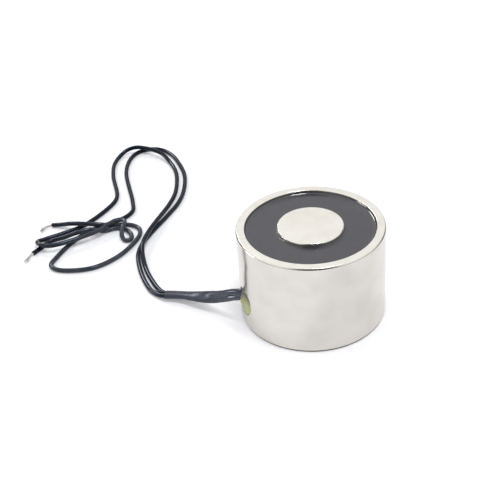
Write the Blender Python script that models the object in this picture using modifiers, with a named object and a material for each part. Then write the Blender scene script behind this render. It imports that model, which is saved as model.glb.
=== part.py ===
"""Holding electromagnet: a turned steel pot with a potted coil and two sleeved leads.

Frame: origin at the centre of the back face, +Z towards the holding face. The leads leave
the pot towards -X and lie on the surface that the back face stands on.
"""
import math

import bmesh
import bpy
import numpy as np
from mathutils import Matrix

MM = 0.001

# Clearances
SEAT_GAP = 0.3 * MM
SNUG_GAP = 0.15 * MM
FLOOR_GAP = 0.05 * MM

# Pot, one turned piece of soft steel with its centre pole
POT_DIAMETER = 45.0 * MM
POT_HEIGHT = 30.5 * MM
WALL = 2.8 * MM
BACK_PLATE = 4.0 * MM
COIL_SPACE = 9.6 * MM
RIM_CHAMFER = 0.45 * MM
RIM_INNER_CHAMFER = 0.2 * MM
BACK_CHAMFER = 0.6 * MM
POLE_CHAMFER = 0.25 * MM

# M6 fixing hole in the back, blind, drilled to the thread's minor diameter
FIXING_HOLE_DIAMETER = 5.0 * MM
FIXING_HOLE_MOUTH = 6.4 * MM
FIXING_HOLE_DEPTH = 10.0 * MM
DRILL_POINT = math.radians(118)

# Hole in the wall for the leads
LEAD_HOLE_DIAMETER = 8.4 * MM
LEAD_HOLE_HEIGHT = 9.5 * MM

# Coil and its insulation
INSULATOR_THICKNESS = 0.5 * MM
POLE_CLEARANCE = 0.4 * MM
BOBBIN_TUBE = 0.8 * MM
BOBBIN_FLANGE = 1.0 * MM
FLANGE_CLEARANCE = 0.4 * MM
START_SLOT = 1.2 * MM
LEAD_SPACE = 3.4 * MM
TAPE_THICKNESS = 0.3 * MM
COIL_CORNER = 0.5 * MM

# Black potting that closes the coil space
RING_RECESS = 1.2 * MM
RING_THICKNESS = 2.0 * MM
MENISCUS_RISE = 0.2 * MM
MENISCUS_WIDTH = 0.5 * MM

# Leads, their joints to the coil's wire and the sleeve over both
LEAD_DIAMETER = 1.6 * MM
PAIR_PITCH = 1.75 * MM
MAGNET_WIRE = 0.5 * MM
SPLICE_DIAMETER = 2.3 * MM
SPLICE_LENGTH = 6.5 * MM
LEAD_TURN_IN = math.radians(12)
FINISH_TAIL_RUN = math.radians(16)
START_TAIL_RUN = 1.5 * MM
SLEEVE_WALL = 0.25 * MM
SLEEVE_SIDE = 0.9 * MM
SLEEVE_RISE = 1.8 * MM
SLEEVE_TWIST = math.radians(105)
SLEEVE_TWIST_STARTS = 0.25
SLEEVE_TWIST_ENDS = 0.85
TINNED_DIAMETER = 0.9 * MM
TINNED_TIP = 0.35

# Olive resin that fills the lead hole below the sleeve
RESIN_DEPTH = 2.4 * MM
RESIN_INSET = 0.3 * MM

# Fineness
TURNED_STEPS = 96
INNER_STEPS = 64
BORE_STEPS = 48
SLEEVE_SIDES = 20
SLEEVE_STATION = 1.9 * MM
TAIL_STATION = 1.2 * MM
LONGEST_STEP = 3 * LEAD_DIAMETER
SHARPEST_STEP = math.radians(22)

# Routes, in mm, with X counted from the pot's wall. This one is the sleeve's middle line, as it
# comes down onto the surface.
SLEEVE_ROUTE = [
    (-2.4, 3.8, 9.8),
    (-4.3, 6.8, 7.8),
    (-6.3, 10.0, 5.9),
    (-8.7, 13.4, 4.3),
    (-11.2, 16.7, 3.1),
    (-13.7, 19.6, 2.3),
    (-16.3, 21.8, 1.8),
    (-18.9, 23.5, 1.5),
]

# Lead A lies lower in the sleeve and nearer the front at its open end
LEAD_A_ROUTE = [
    (-20.8, 24.6, 1.2),
    (-22.5, 28.3, 0.85),
    (-23.1, 33.7, 0.85),
    (-22.9, 40.4, 0.85),
    (-21.9, 47.2, 0.85),
    (-20.5, 51.8, 0.85),
    (-17.5, 56.8, 0.85),
    (-12.9, 61.9, 0.85),
    (-5.0, 69.6, 0.85),
    (1.2, 76.2, 0.85),
    (5.6, 83.4, 0.85),
    (9.5, 94.5, 0.85),
    (10.3, 105.3, 0.85),
    (9.6, 113.0, 0.85),
    (7.3, 118.2, 0.85),
    (4.2, 120.7, 0.85),
    (0.6, 121.3, 0.85),
    (-3.0, 120.2, 0.85),
    (-6.7, 116.2, 0.85),
    (-10.5, 107.4, 0.85),
    (-14.0, 84.3, 0.85),
    (-15.6, 78.6, 0.85),
    (-19.4, 75.5, 0.85),
    (-32.3, 72.7, 0.85),
    (-40.1, 68.3, 0.85),
    (-47.5, 61.2, 0.85),
    (-50.2, 57.4, 0.85),
    (-48.9, 54.0, 0.85),
    (-43.8, 51.0, 0.85),
    (-36.4, 49.6, 0.85),
    (-27.2, 52.7, 0.85),
    (-19.1, 59.7, 0.85),
    (-16.9, 63.2, 0.85),
    (-16.5, 66.3, 0.85),
    (-17.9, 69.0, 0.85),
    (-20.8, 71.0, 0.85),
    (-25.0, 72.0, 0.9),
    (-28.3, 72.2, 2.3),
    (-31.1, 73.0, 2.8),
    (-38.2, 77.0, 2.8),
    (-41.7, 80.3, 1.4),
    (-44.8, 82.4, 0.85),
]

# Lead B lies higher in the sleeve and farther back at its open end
LEAD_B_ROUTE = [
    (-19.9, 27.2, 1.0),
    (-20.9, 36.7, 0.85),
    (-20.8, 41.4, 0.95),
    (-20.4, 45.6, 1.5),
    (-19.7, 49.5, 2.15),
    (-18.4, 53.4, 2.7),
    (-14.6, 59.6, 2.8),
    (-9.6, 65.8, 2.75),
    (-5.8, 71.0, 2.0),
    (-1.9, 76.8, 1.1),
    (2.7, 84.3, 0.85),
    (7.1, 98.0, 0.85),
    (7.2, 107.0, 1.3),
    (5.7, 112.6, 2.4),
    (3.3, 116.4, 2.8),
    (0.5, 119.7, 2.8),
    (-2.7, 121.9, 2.75),
    (-6.2, 122.5, 2.0),
    (-9.5, 121.0, 1.0),
    (-13.2, 115.7, 0.85),
    (-15.9, 107.0, 0.85),
    (-18.5, 90.8, 0.85),
    (-21.6, 86.2, 0.85),
    (-34.3, 77.0, 0.85),
    (-42.6, 75.1, 0.85),
    (-49.0, 74.2, 0.9),
    (-51.9, 72.3, 1.9),
    (-51.9, 69.4, 2.75),
    (-49.9, 67.0, 2.8),
    (-45.9, 66.0, 2.8),
    (-30.3, 68.4, 2.85),
    (-25.9, 70.9, 2.9),
    (-23.4, 71.9, 2.9),
    (-21.1, 71.3, 2.9),
    (-20.7, 69.2, 2.9),
    (-22.2, 66.8, 2.8),
    (-23.2, 64.6, 2.1),
    (-23.5, 62.6, 1.3),
    (-23.1, 61.1, 0.9),
    (-21.8, 60.4, 0.85),
    (-20.6, 61.4, 0.85),
    (-20.1, 63.3, 0.85),
    (-20.3, 65.6, 0.85),
    (-21.5, 68.1, 0.85),
    (-24.2, 70.0, 0.85),
    (-28.4, 69.9, 1.0),
    (-33.0, 70.3, 2.7),
    (-38.3, 70.5, 2.7),
    (-42.6, 71.3, 1.6),
    (-47.6, 72.1, 0.85),
    (-51.2, 69.6, 0.85),
    (-54.6, 67.3, 0.85),
]

# The bare strands past the end of each lead's insulation
TINNED_A_ROUTE = [(-46.1, 82.7, 0.75), (-47.9, 82.2, 0.6), (-49.7, 79.9, 0.5)]
TINNED_B_ROUTE = [(-55.7, 66.5, 0.75), (-56.9, 65.1, 0.6), (-58.3, 63.4, 0.5)]

# Worked out from the sizes above
POT_RADIUS = POT_DIAMETER / 2
CAVITY_RADIUS = POT_RADIUS - WALL
POLE_RADIUS = CAVITY_RADIUS - COIL_SPACE
BOBBIN_INNER = POLE_RADIUS + POLE_CLEARANCE
BOBBIN_CORE = BOBBIN_INNER + BOBBIN_TUBE
FLANGE_RADIUS = CAVITY_RADIUS - FLANGE_CLEARANCE
TAPE_OUTER = CAVITY_RADIUS - LEAD_SPACE
TAPE_INNER = TAPE_OUTER - TAPE_THICKNESS
COIL_OUTER = TAPE_INNER - SEAT_GAP
COIL_INNER = BOBBIN_CORE + SEAT_GAP
LEAD_RING = (TAPE_OUTER + CAVITY_RADIUS) / 2
LEAD_BEND = 2 * LEAD_DIAMETER
INSULATOR_BOTTOM = BACK_PLATE + SEAT_GAP
BOBBIN_BOTTOM = INSULATOR_BOTTOM + INSULATOR_THICKNESS + SEAT_GAP
RING_TOP = POT_HEIGHT - RING_RECESS
RING_BOTTOM = RING_TOP - RING_THICKNESS
BOBBIN_TOP = RING_BOTTOM - SEAT_GAP
COIL_BOTTOM = BOBBIN_BOTTOM + BOBBIN_FLANGE + SEAT_GAP
COIL_TOP = BOBBIN_TOP - BOBBIN_FLANGE - SEAT_GAP
SLEEVE_HEIGHT = LEAD_HOLE_HEIGHT + SLEEVE_RISE
SLEEVE_BORE_SHORT = LEAD_DIAMETER / 2 + SNUG_GAP
SLEEVE_BORE_LONG = PAIR_PITCH / 2 + SLEEVE_BORE_SHORT
SLEEVE_SHORT = SLEEVE_BORE_SHORT + SLEEVE_WALL
SLEEVE_LONG = SLEEVE_BORE_LONG + SLEEVE_WALL
SLEEVE_INNER_END = -(LEAD_RING + LEAD_BEND)


def clear_scene():
    for obj in list(bpy.data.objects):
        bpy.data.objects.remove(obj, do_unlink=True)


def new_collection(name):
    collection = bpy.data.collections.new(name)
    bpy.context.scene.collection.children.link(collection)
    return collection


def material(name, colour, roughness, metallic=0.0):
    made = bpy.data.materials.new(name)
    made.use_nodes = True
    shader = made.node_tree.nodes["Principled BSDF"]
    shader.inputs["Base Color"].default_value = (*colour, 1.0)
    shader.inputs["Roughness"].default_value = roughness
    shader.inputs["Metallic"].default_value = metallic
    return made


def place(obj, finish):
    """Puts a piece into the part's collection with its own material."""
    PART.objects.link(obj)
    obj.data.materials.append(finish)
    return obj


def smooth_round(mesh):
    mesh.shade_smooth()
    mesh.set_sharp_from_angle(angle=math.radians(30))


def profile_mesh(name, points, closed):
    """A mesh of edges only, through (radius, height) points in the XZ plane."""
    edges = [(i, i + 1) for i in range(len(points) - 1)]
    if closed:
        edges.append((len(points) - 1, 0))
    mesh = bpy.data.meshes.new(name)
    mesh.from_pydata([(radius, 0.0, height) for radius, height in points], edges, [])
    return mesh


def turned(name, points, finish, closed=True, steps=INNER_STEPS):
    """A piece turned about Z; its profile runs down the outer side."""
    obj = place(bpy.data.objects.new(name, profile_mesh(name, points, closed)), finish)
    screw = obj.modifiers.new("turning", "SCREW")
    screw.axis = "Z"
    screw.angle = math.tau
    screw.steps = steps
    screw.render_steps = steps
    screw.use_merge_vertices = True
    screw.merge_threshold = 0.00001
    screw.use_smooth_shade = True
    return obj


def cutter_from_bmesh(name, bm):
    mesh = bpy.data.meshes.new(name)
    bm.to_mesh(mesh)
    bm.free()
    obj = bpy.data.objects.new(name, mesh)
    CUTTERS.objects.link(obj)
    obj.display_type = "WIRE"
    obj.hide_render = True
    return obj


def cut(obj, cutter):
    boolean = obj.modifiers.new(cutter.name, "BOOLEAN")
    boolean.operation = "DIFFERENCE"
    boolean.solver = "EXACT"
    boolean.object = cutter


def bore_cutter(name, diameter, start_x, end_x, height):
    """A round cutter along X."""
    length = abs(end_x - start_x)
    turn = Matrix.Rotation(math.radians(90), 4, "Y")
    shift = Matrix.Translation(((start_x + end_x) / 2, 0.0, height))
    bm = bmesh.new()
    bmesh.ops.create_cone(
        bm, cap_ends=True, segments=BORE_STEPS, radius1=diameter / 2, radius2=diameter / 2,
        depth=length, matrix=shift @ turn,
    )
    return cutter_from_bmesh(name, bm)


def slot_cutter(name, azimuth, inner, outer, low, high, width):
    """A box cutter that runs out from the axis at an azimuth counted from -X towards +Y."""
    scale = Matrix.Diagonal((outer - inner, width, high - low, 1.0))
    shift = Matrix.Translation(((inner + outer) / 2, 0.0, (low + high) / 2))
    turn = Matrix.Rotation(math.pi - azimuth, 4, "Z")
    bm = bmesh.new()
    bmesh.ops.create_cube(bm, size=1.0, matrix=turn @ shift @ scale)
    return cutter_from_bmesh(name, bm)


def wire(name, points, diameter, finish, sizes=None):
    """A round wire with filled ends through the points; sizes scales it point by point."""
    curve = bpy.data.curves.new(name, "CURVE")
    curve.dimensions = "3D"
    curve.bevel_depth = diameter / 2
    curve.bevel_resolution = 2
    curve.use_fill_caps = True
    spline = curve.splines.new("POLY")
    spline.points.add(len(points) - 1)
    for index, point in enumerate(points):
        spline.points[index].co = (*point, 1.0)
        spline.points[index].radius = 1.0 if sizes is None else sizes[index]
    spline.use_smooth = True
    return place(bpy.data.objects.new(name, curve), finish)


def smooth_curve(route, step=0.2 * MM):
    """Fine points on the centripetal Catmull-Rom curve through the route's points."""
    route = np.asarray(route, dtype=float)
    ends = np.vstack([2 * route[0] - route[1], route, 2 * route[-1] - route[-2]])
    pieces = []
    for p0, p1, p2, p3 in zip(ends, ends[1:], ends[2:], ends[3:]):
        t1 = math.sqrt(np.linalg.norm(p1 - p0))
        t2 = t1 + math.sqrt(np.linalg.norm(p2 - p1))
        t3 = t2 + math.sqrt(np.linalg.norm(p3 - p2))
        count = max(2, int(np.linalg.norm(p2 - p1) / step))
        t = np.linspace(t1, t2, count, endpoint=False)[:, None]
        a1 = (t1 - t) / t1 * p0 + t / t1 * p1
        a2 = (t2 - t) / (t2 - t1) * p1 + (t - t1) / (t2 - t1) * p2
        a3 = (t3 - t) / (t3 - t2) * p2 + (t - t2) / (t3 - t2) * p3
        b1 = (t2 - t) / t2 * a1 + t / t2 * a2
        b2 = (t3 - t) / (t3 - t1) * a2 + (t - t1) / (t3 - t1) * a3
        pieces.append((t2 - t) / (t2 - t1) * b1 + (t - t1) / (t2 - t1) * b2)
    return np.vstack(pieces + [route[-1:]])


def directions(points):
    """Unit tangents along a line of points."""
    along = np.gradient(points, axis=0)
    return along / np.linalg.norm(along, axis=1)[:, None]


def thinned(points, longest=LONGEST_STEP, sharpest=SHARPEST_STEP):
    """Keeps a point after each longest step, or sooner where the line has turned enough."""
    tangents = directions(points)
    kept = [0]
    travelled = 0.0
    for index in range(1, len(points) - 1):
        travelled += np.linalg.norm(points[index] - points[index - 1])
        turned_by = math.acos(min(1.0, float(tangents[index] @ tangents[kept[-1]])))
        if travelled >= longest or turned_by >= sharpest:
            kept.append(index)
            travelled = 0.0
    kept.append(len(points) - 1)
    return points[kept]


def on_ring(radius, azimuth, height):
    """A point at an azimuth counted from -X towards +Y."""
    return np.array([-radius * math.cos(azimuth), radius * math.sin(azimuth), height])


def oval(long_half, short_half, count):
    """A slot-shaped outline: two half circles joined by straight sides, as (long, short) pairs."""
    shift = long_half - short_half
    outline = []
    for index in range(count):
        angle = math.tau * (index + 0.5) / count
        end = math.copysign(shift, math.sin(angle))
        outline.append((end + short_half * math.sin(angle), short_half * math.cos(angle)))
    return np.array(outline)


def laid(route):
    """Places in metres for a route whose X counts from the pot's wall."""
    return np.array(route) * MM - (POT_RADIUS, 0.0, 0.0)


def sleeve_line():
    """The sleeve's middle line and, at each station, the directions of its long and short axis.

    The pair stands one over the other where it leaves the pot and turns by a little over a quarter
    on its way down, so that the leads come out of the sleeve's open end side by side.
    """
    inside = (SLEEVE_INNER_END, SLEEVE_SIDE, SLEEVE_HEIGHT)
    mouth = (-POT_RADIUS, SLEEVE_SIDE, SLEEVE_HEIGHT)
    route = np.vstack([inside, mouth, laid(SLEEVE_ROUTE)])
    middle = thinned(smooth_curve(route), SLEEVE_STATION, SHARPEST_STEP / 2)
    tangents = directions(middle)
    tangents[0] = (-1.0, 0.0, 0.0)
    side = np.cross(tangents, (0.0, 0.0, 1.0))
    side /= np.linalg.norm(side, axis=1)[:, None]
    up = np.cross(side, tangents)
    travelled = np.r_[0.0, np.cumsum(np.linalg.norm(np.diff(middle, axis=0), axis=1))]
    turning = SLEEVE_TWIST_ENDS - SLEEVE_TWIST_STARTS
    ease = np.clip((travelled / travelled[-1] - SLEEVE_TWIST_STARTS) / turning, 0.0, 1.0)
    twist = (SLEEVE_TWIST * ease * ease * (3 - 2 * ease))[:, None]
    long_axis = np.cos(twist) * up + np.sin(twist) * side
    return middle, long_axis, np.cross(tangents, long_axis)


def loft(bm, rings):
    """Quads between successive closed rings; returns the rings' vertices."""
    rows = [[bm.verts.new(point) for point in ring] for ring in rings]
    for near, far in zip(rows, rows[1:]):
        for index in range(len(near)):
            after = (index + 1) % len(near)
            bm.faces.new((near[index], near[after], far[after], far[index]))
    return rows


def make_pot_core():
    tip_depth = FIXING_HOLE_DIAMETER / 2 / math.tan(DRILL_POINT / 2)
    mouth_depth = (FIXING_HOLE_MOUTH - FIXING_HOLE_DIAMETER) / 2
    profile = [
        (0.0, POT_HEIGHT),
        (POLE_RADIUS - POLE_CHAMFER, POT_HEIGHT),
        (POLE_RADIUS, POT_HEIGHT - POLE_CHAMFER),
        (POLE_RADIUS, BACK_PLATE),
        (CAVITY_RADIUS, BACK_PLATE),
        (CAVITY_RADIUS, POT_HEIGHT - RIM_INNER_CHAMFER),
        (CAVITY_RADIUS + RIM_INNER_CHAMFER, POT_HEIGHT),
        (POT_RADIUS - RIM_CHAMFER, POT_HEIGHT),
        (POT_RADIUS, POT_HEIGHT - RIM_CHAMFER),
        (POT_RADIUS, BACK_CHAMFER),
        (POT_RADIUS - BACK_CHAMFER, 0.0),
        (FIXING_HOLE_MOUTH / 2, 0.0),
        (FIXING_HOLE_DIAMETER / 2, mouth_depth),
        (FIXING_HOLE_DIAMETER / 2, FIXING_HOLE_DEPTH),
        (0.0, FIXING_HOLE_DEPTH + tip_depth),
    ]
    nickel = material("bright_nickel_plate", (0.70, 0.68, 0.64), 0.28, 1.0)
    pot = turned("pot_core", profile, nickel, closed=False, steps=TURNED_STEPS)
    hole_start = -(POT_RADIUS + WALL)
    hole_end = -(CAVITY_RADIUS - WALL)
    cut(pot, bore_cutter("lead_hole", LEAD_HOLE_DIAMETER, hole_start, hole_end, LEAD_HOLE_HEIGHT))


def make_floor_insulator():
    top = INSULATOR_BOTTOM + INSULATOR_THICKNESS
    profile = [
        (BOBBIN_INNER, top),
        (FLANGE_RADIUS, top),
        (FLANGE_RADIUS, INSULATOR_BOTTOM),
        (BOBBIN_INNER, INSULATOR_BOTTOM),
    ]
    turned("floor_insulator", profile, material("pressboard", (0.42, 0.30, 0.17), 0.8))


def make_coil_bobbin():
    profile = [
        (BOBBIN_INNER, BOBBIN_TOP),
        (FLANGE_RADIUS, BOBBIN_TOP),
        (FLANGE_RADIUS, BOBBIN_TOP - BOBBIN_FLANGE),
        (BOBBIN_CORE, BOBBIN_TOP - BOBBIN_FLANGE),
        (BOBBIN_CORE, BOBBIN_BOTTOM + BOBBIN_FLANGE),
        (FLANGE_RADIUS, BOBBIN_BOTTOM + BOBBIN_FLANGE),
        (FLANGE_RADIUS, BOBBIN_BOTTOM),
        (BOBBIN_INNER, BOBBIN_BOTTOM),
    ]
    nylon = material("natural_nylon", (0.80, 0.78, 0.70), 0.5)
    bobbin = turned("coil_bobbin", profile, nylon)
    low = BOBBIN_BOTTOM - SEAT_GAP
    high = BOBBIN_BOTTOM + BOBBIN_FLANGE + SEAT_GAP
    inner = BOBBIN_CORE + SEAT_GAP
    azimuth = start_slot_azimuth()
    cut(bobbin, slot_cutter("start_slot", azimuth, inner, CAVITY_RADIUS, low, high, START_SLOT))


def make_winding():
    corner = COIL_CORNER
    profile = [
        (COIL_INNER, COIL_TOP),
        (COIL_OUTER - corner, COIL_TOP),
        (COIL_OUTER, COIL_TOP - corner),
        (COIL_OUTER, COIL_BOTTOM + corner),
        (COIL_OUTER - corner, COIL_BOTTOM),
        (COIL_INNER, COIL_BOTTOM),
    ]
    turned("winding", profile, material("enamelled_copper", (0.45, 0.16, 0.06), 0.35, 1.0))


def make_winding_tape():
    profile = [
        (TAPE_INNER, COIL_TOP),
        (TAPE_OUTER, COIL_TOP),
        (TAPE_OUTER, COIL_BOTTOM),
        (TAPE_INNER, COIL_BOTTOM),
    ]
    turned("winding_tape", profile, material("polyester_tape", (0.80, 0.55, 0.05), 0.4))


def make_potting_ring():
    inner = POLE_RADIUS + SEAT_GAP
    outer = CAVITY_RADIUS - SEAT_GAP
    profile = [
        (inner, RING_TOP + MENISCUS_RISE),
        (inner + MENISCUS_WIDTH, RING_TOP),
        (outer - MENISCUS_WIDTH, RING_TOP),
        (outer, RING_TOP + MENISCUS_RISE),
        (outer, RING_BOTTOM),
        (inner, RING_BOTTOM),
    ]
    black = material("black_epoxy", (0.10, 0.10, 0.11), 0.5)
    turned("potting_ring", profile, black, steps=TURNED_STEPS)


def make_exit_resin():
    """A plug in the lead hole that stops at the sleeve's middle and cradles its lower half."""
    radius = LEAD_HOLE_DIAMETER / 2 - SEAT_GAP
    notch = SLEEVE_SHORT + SNUG_GAP
    notch_drop = SLEEVE_LONG - SLEEVE_SHORT
    start = math.asin(SLEEVE_RISE / radius)
    around = [
        (radius * math.cos(angle), LEAD_HOLE_HEIGHT + radius * math.sin(angle))
        for angle in np.linspace(start, -math.pi - start, 33)
    ]
    cradle = [
        (SLEEVE_SIDE + notch * math.cos(angle), SLEEVE_HEIGHT - notch_drop + notch * math.sin(angle))
        for angle in np.linspace(-math.pi, 0.0, 13)
    ]
    left_top = (SLEEVE_SIDE - notch, SLEEVE_HEIGHT)
    right_top = (SLEEVE_SIDE + notch, SLEEVE_HEIGHT)
    outline = around + [left_top] + cradle + [right_top]
    curve = bpy.data.curves.new("exit_resin", "CURVE")
    curve.dimensions = "2D"
    curve.fill_mode = "BOTH"
    curve.extrude = RESIN_DEPTH / 2
    spline = curve.splines.new("POLY")
    spline.points.add(len(outline) - 1)
    for index, (side, height) in enumerate(outline):
        spline.points[index].co = (side, height, 0.0, 1.0)
    spline.use_cyclic_u = True
    plug = place(
        bpy.data.objects.new("exit_resin", curve),
        material("olive_resin", (0.30, 0.33, 0.14), 0.3),
    )
    middle = -(POT_RADIUS - RESIN_INSET - RESIN_DEPTH / 2)
    across_to_side = Matrix(((0, 0, 1, 0), (1, 0, 0, 0), (0, 1, 0, 0), (0, 0, 0, 1)))
    plug.matrix_world = Matrix.Translation((middle, 0.0, 0.0)) @ across_to_side


def make_lead_sleeve():
    middle, long_axis, short_axis = SLEEVE_LINE
    bm = bmesh.new()
    walls = []
    for long_half, short_half in ((SLEEVE_LONG, SLEEVE_SHORT), (SLEEVE_BORE_LONG, SLEEVE_BORE_SHORT)):
        outline = oval(long_half, short_half, SLEEVE_SIDES)
        rings = (
            middle[:, None]
            + outline[None, :, :1] * long_axis[:, None]
            + outline[None, :, 1:] * short_axis[:, None]
        )
        walls.append(loft(bm, rings))
    outer, bore = walls
    for end in (0, -1):
        for index in range(SLEEVE_SIDES):
            after = (index + 1) % SLEEVE_SIDES
            bm.faces.new((outer[end][index], outer[end][after], bore[end][after], bore[end][index]))
    bmesh.ops.recalc_face_normals(bm, faces=bm.faces)
    mesh = bpy.data.meshes.new("lead_sleeve")
    bm.to_mesh(mesh)
    bm.free()
    smooth_round(mesh)
    shrink = material("black_heat_shrink", (0.03, 0.03, 0.035), 0.35)
    place(bpy.data.objects.new("lead_sleeve", mesh), shrink)


def lead_inside(side):
    """From the joint, round the coil, then out through a bend into the sleeve.

    side is +1 for the lead that goes round towards +Y, and -1 for the other.
    """
    height = SLEEVE_HEIGHT + side * PAIR_PITCH / 2
    bend = [
        (
            SLEEVE_INNER_END + LEAD_BEND * math.sin(angle),
            SLEEVE_SIDE + side * LEAD_BEND * (1 - math.cos(angle)),
            height,
        )
        for angle in np.radians((75, 55, 35, 15))
    ]
    joint_end = lead_end_azimuth(side)
    before = side * (joint_end - LEAD_TURN_IN / 2)
    return [on_ring(LEAD_RING, side * joint_end, height), on_ring(LEAD_RING, before, height)] + bend


def lead_end_azimuth(side):
    """Where a lead stops inside the pot, counted from -X to its own side."""
    return math.asin((LEAD_BEND + side * SLEEVE_SIDE) / LEAD_RING) + LEAD_TURN_IN


def splice_azimuths(side):
    """Where a lead's joint starts and ends inside the pot, counted in the same way."""
    start = lead_end_azimuth(side) + SEAT_GAP / LEAD_RING
    return start, start + SPLICE_LENGTH / LEAD_RING


def start_slot_azimuth():
    """The coil's start wire comes up a little past the end of its joint."""
    return splice_azimuths(1)[1] + START_TAIL_RUN / LEAD_RING


def make_lead(name, side, route, finish):
    middle, long_axis, short_axis = SLEEVE_LINE
    in_sleeve = middle + side * PAIR_PITCH / 2 * long_axis
    inside = thinned(smooth_curve(lead_inside(side) + [in_sleeve[0]]))[:-1]
    outside = smooth_curve(np.vstack([in_sleeve[-2:], laid(route)]))
    outside[:, 2] = np.maximum(outside[:, 2], LEAD_DIAMETER / 2 + FLOOR_GAP)
    leaves = int(np.argmin(np.linalg.norm(outside - in_sleeve[-1], axis=1)))
    free = thinned(outside[leaves:])[1:]
    wire(name, np.vstack([inside, in_sleeve, free]), LEAD_DIAMETER, finish)


def make_tinned_end(name, route, lead_route):
    """Bare strands, twisted and tinned, a seat's gap past the end of the insulation."""
    points = laid(lead_route[-1:] + route)
    start = points[0] + SEAT_GAP * (points[1] - points[0]) / np.linalg.norm(points[1] - points[0])
    line = thinned(smooth_curve(np.vstack([start, points[1:]])), TINNED_DIAMETER, SHARPEST_STEP)
    sizes = np.linspace(1.0, TINNED_TIP, len(line))
    wire(name, line, TINNED_DIAMETER, TINNED_COPPER, sizes)


def make_splice(name, side):
    """The soldered joint between a lead and the coil's wire, in its own shrunk sleeve."""
    height = SLEEVE_HEIGHT + side * PAIR_PITCH / 2
    azimuths = np.linspace(*splice_azimuths(side), 9)
    points = [on_ring(LEAD_RING, side * azimuth, height) for azimuth in azimuths]
    narrow = LEAD_DIAMETER / SPLICE_DIAMETER
    sizes = [narrow + (1 - narrow) * math.sin(share) ** 0.5 for share in np.linspace(0, math.pi, 9)]
    wire(name, points, SPLICE_DIAMETER, SPLICE_SHRINK, sizes)
    return azimuths[-1] + SEAT_GAP / LEAD_RING, height


def make_tails():
    """The coil's two wire ends, from the winding to the joints."""
    joint, height = make_splice("splice_b", 1)
    azimuth = start_slot_azimuth()
    slot_height = BOBBIN_BOTTOM + BOBBIN_FLANGE / 2
    beside = LEAD_RING + SEAT_GAP
    start_route = [
        on_ring(BOBBIN_CORE + 3 * MAGNET_WIRE, azimuth, slot_height),
        on_ring(TAPE_OUTER, azimuth, slot_height),
        on_ring(beside, azimuth, slot_height + 2 * MAGNET_WIRE),
        on_ring(beside, azimuth, height - 4 * MAGNET_WIRE),
        on_ring(LEAD_RING, (azimuth + joint) / 2, height),
        on_ring(LEAD_RING, joint, height),
    ]
    wire("start_tail", thinned(smooth_curve(start_route), TAIL_STATION), MAGNET_WIRE, MAGNET_ENAMEL)
    joint, height = make_splice("splice_a", -1)
    off_tape = TAPE_OUTER + SEAT_GAP + MAGNET_WIRE / 2
    finish_route = [
        on_ring(off_tape, -joint - FINISH_TAIL_RUN, height),
        on_ring(off_tape + MAGNET_WIRE, -joint - FINISH_TAIL_RUN / 2, height),
        on_ring(LEAD_RING, -joint, height),
    ]
    wire("finish_tail", thinned(smooth_curve(finish_route), TAIL_STATION), MAGNET_WIRE, MAGNET_ENAMEL)


clear_scene()
PART = new_collection("holding_electromagnet")
CUTTERS = new_collection("cutters")
SLEEVE_LINE = sleeve_line()
PVC = material("black_pvc", (0.035, 0.037, 0.045), 0.4)
TINNED_COPPER = material("tinned_copper", (0.75, 0.74, 0.72), 0.3, 1.0)
MAGNET_ENAMEL = material("wire_enamel", (0.45, 0.14, 0.05), 0.3, 1.0)
SPLICE_SHRINK = material("splice_heat_shrink", (0.03, 0.03, 0.03), 0.4)

make_pot_core()
make_floor_insulator()
make_coil_bobbin()
make_winding()
make_winding_tape()
make_potting_ring()
make_exit_resin()
make_lead_sleeve()
make_lead("lead_a", -1, LEAD_A_ROUTE, PVC)
make_lead("lead_b", 1, LEAD_B_ROUTE, PVC)
make_tinned_end("lead_a_tinned_end", TINNED_A_ROUTE, LEAD_A_ROUTE)
make_tinned_end("lead_b_tinned_end", TINNED_B_ROUTE, LEAD_B_ROUTE)
make_tails()
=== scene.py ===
"""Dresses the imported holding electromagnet: plated pot, potted coil and two sleeved leads."""
import math

import bmesh
import bpy
import numpy as np
from mathutils import Matrix, Vector


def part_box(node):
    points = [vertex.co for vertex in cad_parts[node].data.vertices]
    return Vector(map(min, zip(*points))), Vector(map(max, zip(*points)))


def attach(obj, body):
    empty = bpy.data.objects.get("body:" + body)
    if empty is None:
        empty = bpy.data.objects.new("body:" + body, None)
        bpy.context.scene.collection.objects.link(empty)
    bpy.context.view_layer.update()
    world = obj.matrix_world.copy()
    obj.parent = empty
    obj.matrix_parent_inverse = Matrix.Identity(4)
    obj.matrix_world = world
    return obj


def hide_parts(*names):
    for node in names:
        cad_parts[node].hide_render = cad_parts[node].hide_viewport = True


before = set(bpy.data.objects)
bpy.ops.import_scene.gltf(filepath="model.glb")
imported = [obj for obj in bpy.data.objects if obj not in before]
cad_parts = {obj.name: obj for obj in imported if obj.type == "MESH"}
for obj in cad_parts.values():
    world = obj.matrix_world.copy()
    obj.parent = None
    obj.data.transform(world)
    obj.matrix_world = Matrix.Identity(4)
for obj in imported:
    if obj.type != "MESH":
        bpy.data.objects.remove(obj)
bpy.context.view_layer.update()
scene = bpy.context.scene

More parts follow.
